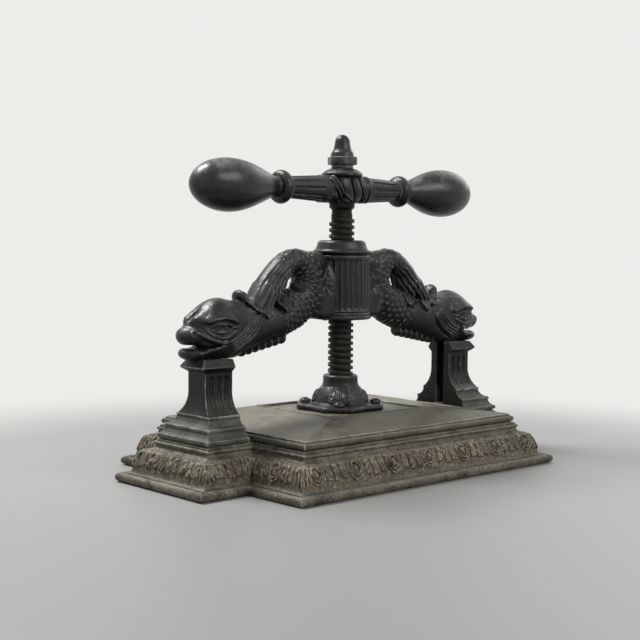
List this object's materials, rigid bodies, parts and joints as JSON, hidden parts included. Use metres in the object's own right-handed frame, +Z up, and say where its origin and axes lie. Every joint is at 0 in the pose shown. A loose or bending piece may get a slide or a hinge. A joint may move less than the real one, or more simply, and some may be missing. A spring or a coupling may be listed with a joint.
{
  "type": "copying press",
  "caption": "Cast iron copying press: a weighted bar turns a screw in a dolphin arch and drives a sloped platen down onto the bed of a moulded base.",
  "frame": {"origin": "on the screw axis at the table, under the middle of the base", "axes": "+X along the arch and the handle bar, -Y to the front, +Z up along the screw"},
  "size_m": [0.467, 0.283, 0.3426],
  "materials": {
    "dark_iron": "old black paint, semi-gloss, dusty in the hollows and worn on the edges",
    "dusty_iron": "old black paint under grey dust, with rust-brown and olive stains on the mouldings",
    "screw_steel": "dark oiled steel"
  },
  "bodies": {
    "frame": {"base": "dusty_iron", "left_column": "dark_iron", "right_column": "dark_iron", "left_dolphin": "dark_iron", "right_dolphin": "dark_iron", "boss": "dark_iron", "boss_cap": "dark_iron", "screw_nut": "screw_steel", "nut_lock_screw": "screw_steel", "left_tie_bolt": "screw_steel", "right_tie_bolt": "screw_steel", "tie_washers": "screw_steel", "tie_nuts": "screw_steel"},
    "platen": {"platen": "dusty_iron", "screw_socket": "dark_iron", "socket_bolts": "dark_iron"},
    "screw": {"screw": "screw_steel", "handle": "dark_iron", "left_knob": "dark_iron", "right_knob": "dark_iron", "hub_cap": "dark_iron", "finial_nut": "dark_iron"}
  },
  "joints": [
    {"name": "platen_slide", "type": "slide", "parent": "frame", "child": "platen", "axis": [0, 0, 1], "range_m": [0, 0.0508]},
    {"name": "screw_turn", "type": "hinge", "parent": "platen", "child": "screw", "pos_m": [0, 0, 0.2], "axis": [0, 0, 1], "range_deg": [0, 2880]}
  ],
  "couplings": [
    {"joint": "platen_slide", "follows": "screw_turn", "m_per_rad": 0.0010106}
  ]
}
